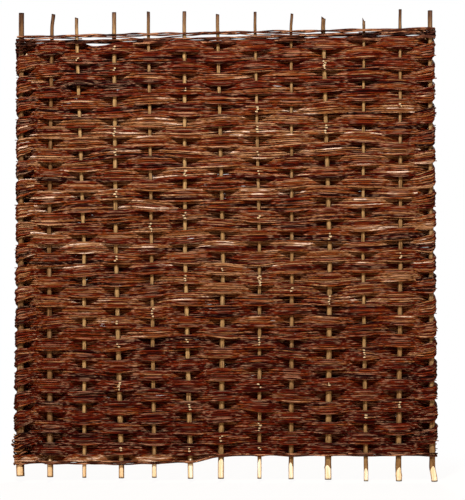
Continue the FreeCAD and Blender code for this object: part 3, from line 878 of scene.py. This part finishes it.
# bindings: a thin rod doubled round the left-hand upright and twisted in every bay
binding = {
    "thick": {"bottom_binding": 0.0046, "top_binding_lower": 0.0042, "top_binding_upper": 0.0044},
    "open": (0.5, 1.25),      # how far a bay's two halves stand apart, bay by bay
    # rise between uprights
    "arch": {"bottom_binding": 0.006, "top_binding_lower": -0.001, "top_binding_upper": 0.0},
    "steps": 14, "turnSteps": 10, "tail": (0.0, 0.008, 0.02), "thin": 0.9, "tone": (0.2, 0.7),
    "shades": [(26, 6, 3), (64, 26, 13), (108, 58, 34), (186, 134, 98)],
    "streakScale": 260.0, "patchScale": 110.0, "streakDark": (104, 80, 68),
    "bloom": 0.4, "bloomFull": 0.72, "bloomShade": (150, 104, 82),
    # painted shade along the top and bottom of each binding rod, where rods touch
    "seam": 0.9, "flankShadeAndDarkEndFrom": 0.25, "flankShadeAndDarkEndColour": (84, 40, 24),
    "peeled": (236, 220, 188), "stained": (206, 172, 128), "ragged": 0.5,
    "shine": (0.5, 0.75), "relief": 0.6, "gloss": 0.03, "stretch": (0.07, 1.0, 1.0),
}
loose = {"tails": (0.022, 0.022), "layer": 0.003, "waver": 0.002, "tone": (0.1, 0.9)}
# loose rods laid in along a binding: first and last upright, height over it at each end, radius, side at the start
laidIn = {
    "top_binding_lower": [(4, 13, -0.012, -0.012, 0.0044, 1.0), (5, 12, -0.006, -0.020, 0.0040, -1.0),
                          (7, 13, -0.020, -0.006, 0.0042, -1.0), (1, 4, -0.010, -0.006, 0.0042, -1.0),
                          (1, 3, 0.010, 0.004, 0.0044, 1.0), (8, 13, 0.006, 0.010, 0.0040, 1.0),
                          (4, 6, 0.004, 0.008, 0.0040, 1.0)],
    "top_binding_upper": [(1, 3, -0.009, -0.011, 0.0040, 1.0), (1, 4, -0.019, -0.021, 0.0040, -1.0),
                          (3, 8, -0.021, -0.020, 0.0038, 1.0), (4, 9, -0.024, -0.021, 0.0040, -1.0),
                          (7, 11, -0.021, -0.018, 0.0038, 1.0), (8, 13, -0.022, -0.013, 0.0040, -1.0),
                          (9, 13, -0.018, -0.009, 0.0040, 1.0), (11, 13, -0.011, -0.004, 0.0042, 1.0),
                          (10, 13, -0.022, -0.018, 0.0040, -1.0), (6, 10, -0.022, -0.020, 0.0038, 1.0),
                          (2, 5, -0.002, 0.003, 0.0034, -1.0), (3, 5, -0.001, -0.020, 0.0036, 1.0),
                          (5, 7, -0.020, 0.001, 0.0036, -1.0), (7, 9, 0.002, -0.019, 0.0036, -1.0),
                          (8, 10, 0.001, -0.021, 0.0034, 1.0), (9, 12, -0.020, 0.001, 0.0036, -1.0)],
    "bottom_binding": [(1, 6, 0.009, 0.008, 0.0044, 1.0), (7, 13, 0.008, 0.009, 0.0044, -1.0),
                       (6, 13, 0.006, 0.004, 0.0042, -1.0), (2, 5, 0.000, -0.004, 0.0040, -1.0)],
}
bindingBark = barkFinish("bindingBark", binding, binding["stretch"])
# windings where the lower top binding meets the end uprights, heights over it
topLeft = {"turns": 2.4, "from": -0.046, "to": 0.020, "rods": 2, "thick": 0.0044, "tone": (0.05, 0.5),
           "bulge": 0.002, "bulgeAt": 0.0}
topRight = {"turns": 2.4, "from": -0.014, "to": 0.028, "rods": 2, "thick": 0.0042, "tone": (0.05, 0.5),
            "bulge": 0.003, "bulgeAt": 0.01}


def bindingLevels(name):
    pts = pointsOf(name)
    heights = []
    for stake in stakes:
        nearest = np.argsort(np.abs(pts[:, 0] - stake.middle(pts[0, 2])))[:reading["bindingPoints"]]
        heights.append(0.5 * (pts[nearest, 2].min() + pts[nearest, 2].max()))
    return np.array(heights)


def makeBinding(name, flip):
    levels = bindingLevels(name)
    middles = [stake.middle(level) for stake, level in zip(stakes, levels)]
    bundle = Bundle("willow_" + name)
    r = binding["thick"][name]
    fars = [stake.radius(level) + r + weave["gap"] for stake, level in zip(stakes, levels)]
    apart = [dice.uniform(*binding["open"]) for a in range(last)]
    t = np.arange(binding["steps"]) / binding["steps"]
    halves = []
    for half in (1.0, -1.0):
        points = []
        for a in range(last):
            b = a + 1
            phi = math.pi * (a + t)
            lift = half * apart[a] * r + binding["arch"][name]
            x = middles[a] + (middles[b] - middles[a]) * t
            y = half * flip * (fars[a] + (fars[b] - fars[a]) * t) * np.cos(phi)
            z = levels[a] + (levels[b] - levels[a]) * smooth(t) + lift * np.abs(np.sin(phi))
            points.extend(zip(x, y, z))
        end = half * flip * math.cos(math.pi * last)
        for over in binding["tail"]:
            points.append((middles[last] + over, end * fars[last], levels[last]))
        halves.append(np.array(points))
    # round the left-hand upright from the back half to the front one
    turn = []
    for k in range(1, binding["turnSteps"]):
        phi = math.pi * k / binding["turnSteps"]
        turn.append((middles[0] - fars[0] * math.sin(phi), -flip * fars[0] * math.cos(phi), levels[0]))
    path = np.vstack([halves[1][::-1], np.array(turn), halves[0]])
    addStrand(bundle, path, r, dice.uniform(*binding["tone"]), thin=binding["thin"])
    for first, final, startRise, endRise, thick, side in laidIn[name]:
        heights = levels[first - 1:final] + np.linspace(startRise, endRise, final - first + 1)
        path = strandPath(first - 1, final - 1, heights, thick, side, loose["tails"], loose["layer"])
        addStrand(bundle, path, thick, dice.uniform(*loose["tone"]), waver=loose["waver"])
    if name == "top_binding_lower":
        addWinding(bundle, stakes[0], topLeft, levels[0])
        addWinding(bundle, stakes[last], topRight, levels[last])
    bundle.make(bindingBark, cutWood, name, "binding_bark")


makeBinding("bottom_binding", 1.0)
makeBinding("top_binding_lower", 1.0)
makeBinding("top_binding_upper", -1.0)
print("bindings made")


# camera, floor and light
shot = {"aim": (0.024, 0.0, 1.006), "distance": 9.0, "frameHeight": 2.172, "sensor": 36.0}
cameraData = bpy.data.cameras.new("camera")
cameraData.lens = shot["sensor"] * shot["distance"] / shot["frameHeight"]
camera = bpy.data.objects.new("camera", cameraData)
camera.location = (shot["aim"][0], -shot["distance"], shot["aim"][2])
camera.rotation_euler = (math.radians(90.0), 0.0, 0.0)
bpy.context.collection.objects.link(camera)
bpy.context.scene.camera = camera

floorLook = {"half": 14.0, "shade": (206, 186, 164), "dull": 0.9, "glow": 0.93, "shadowReach": 0.9}
mesh = bpy.data.meshes.new("floor")
h = floorLook["half"]
mesh.from_pydata([(-h, -h, 0.0), (h, -h, 0.0), (h, h, 0.0), (-h, h, 0.0)], [], [(0, 1, 2, 3)])
floor = bpy.data.objects.new("floor", mesh)
bpy.context.collection.objects.link(floor)


def floorFinish():
    # pale floor that shows white to the camera and still takes the shadow
    mat, tree, shader = newFinish("paleFloor")
    shader.inputs["Base Color"].default_value = paint(*floorLook["shade"])
    shader.inputs["Roughness"].default_value = floorLook["dull"]
    shader.inputs["Specular IOR Level"].default_value = 0.0
    glow = addNode(tree, "ShaderNodeEmission", Color=white, Strength=1.0)
    light = tree.nodes.new("ShaderNodeLightPath")
    where = tree.nodes.new("ShaderNodeTexCoord")
    far = addNode(tree, "ShaderNodeVectorMath", operation="LENGTH")
    tree.links.new(where.outputs["Object"], far.inputs[0])
    reach = floorLook["shadowReach"]
    fade = rangeOf(tree, far.outputs["Value"], (reach, reach * 2.0), (floorLook["glow"], 1.0), "SMOOTHSTEP")
    share = addNode(tree, "ShaderNodeMath", operation="MULTIPLY")
    blend = tree.nodes.new("ShaderNodeMixShader")
    tree.links.new(light.outputs["Is Camera Ray"], share.inputs[0])
    tree.links.new(fade, share.inputs[1])
    tree.links.new(share.outputs[0], blend.inputs["Fac"])
    tree.links.new(shader.outputs["BSDF"], blend.inputs[1])
    tree.links.new(glow.outputs["Emission"], blend.inputs[2])
    tree.links.new(blend.outputs["Shader"], tree.nodes["Material Output"].inputs["Surface"])
    return mat


mesh.materials.append(floorFinish())

lightSet = {"sky": 0.035, "skyShade": (255, 150, 95), "key": 1065.0, "keySize": 0.8, "keyFrom": (-0.8, -5.3, 6.5),
            "back": 440.0, "backFrom": (0.8, 3.6, 5.6), "side": 50.0, "sideFrom": (4.2, 0.0, 2.6)}
world = bpy.data.worlds.new("studio")
bpy.context.scene.world = world
world.use_nodes = True
tree = world.node_tree
path = tree.nodes.new("ShaderNodeLightPath")
dim = tree.nodes["Background"]
dim.inputs["Color"].default_value = paint(*lightSet["skyShade"])
dim.inputs["Strength"].default_value = lightSet["sky"]
plain = addNode(tree, "ShaderNodeBackground", Color=white, Strength=1.0)
seen = tree.nodes.new("ShaderNodeMixShader")
tree.links.new(path.outputs["Is Camera Ray"], seen.inputs["Fac"])
tree.links.new(dim.outputs["Background"], seen.inputs[1])
tree.links.new(plain.outputs["Background"], seen.inputs[2])
tree.links.new(seen.outputs["Shader"], tree.nodes["World Output"].inputs["Surface"])


def addLamp(name, place, size, power):
    data = bpy.data.lights.new(name, "AREA")
    data.size = size
    data.energy = power
    lamp = bpy.data.objects.new(name, data)
    lamp.location = place
    lamp.rotation_euler = (Vector(shot["aim"]) - Vector(place)).to_track_quat("-Z", "Y").to_euler()
    bpy.context.collection.objects.link(lamp)


addLamp("key", lightSet["keyFrom"], lightSet["keySize"], lightSet["key"])
addLamp("backKey", lightSet["backFrom"], lightSet["keySize"], lightSet["back"])
for name, way in (("leftSide", -1.0), ("rightSide", 1.0)):
    x, y, z = lightSet["sideFrom"]
    addLamp(name, (way * x, y, z), lightSet["keySize"], lightSet["side"])
bpy.context.scene.view_settings.view_transform = "Standard"
print("camera and light set")
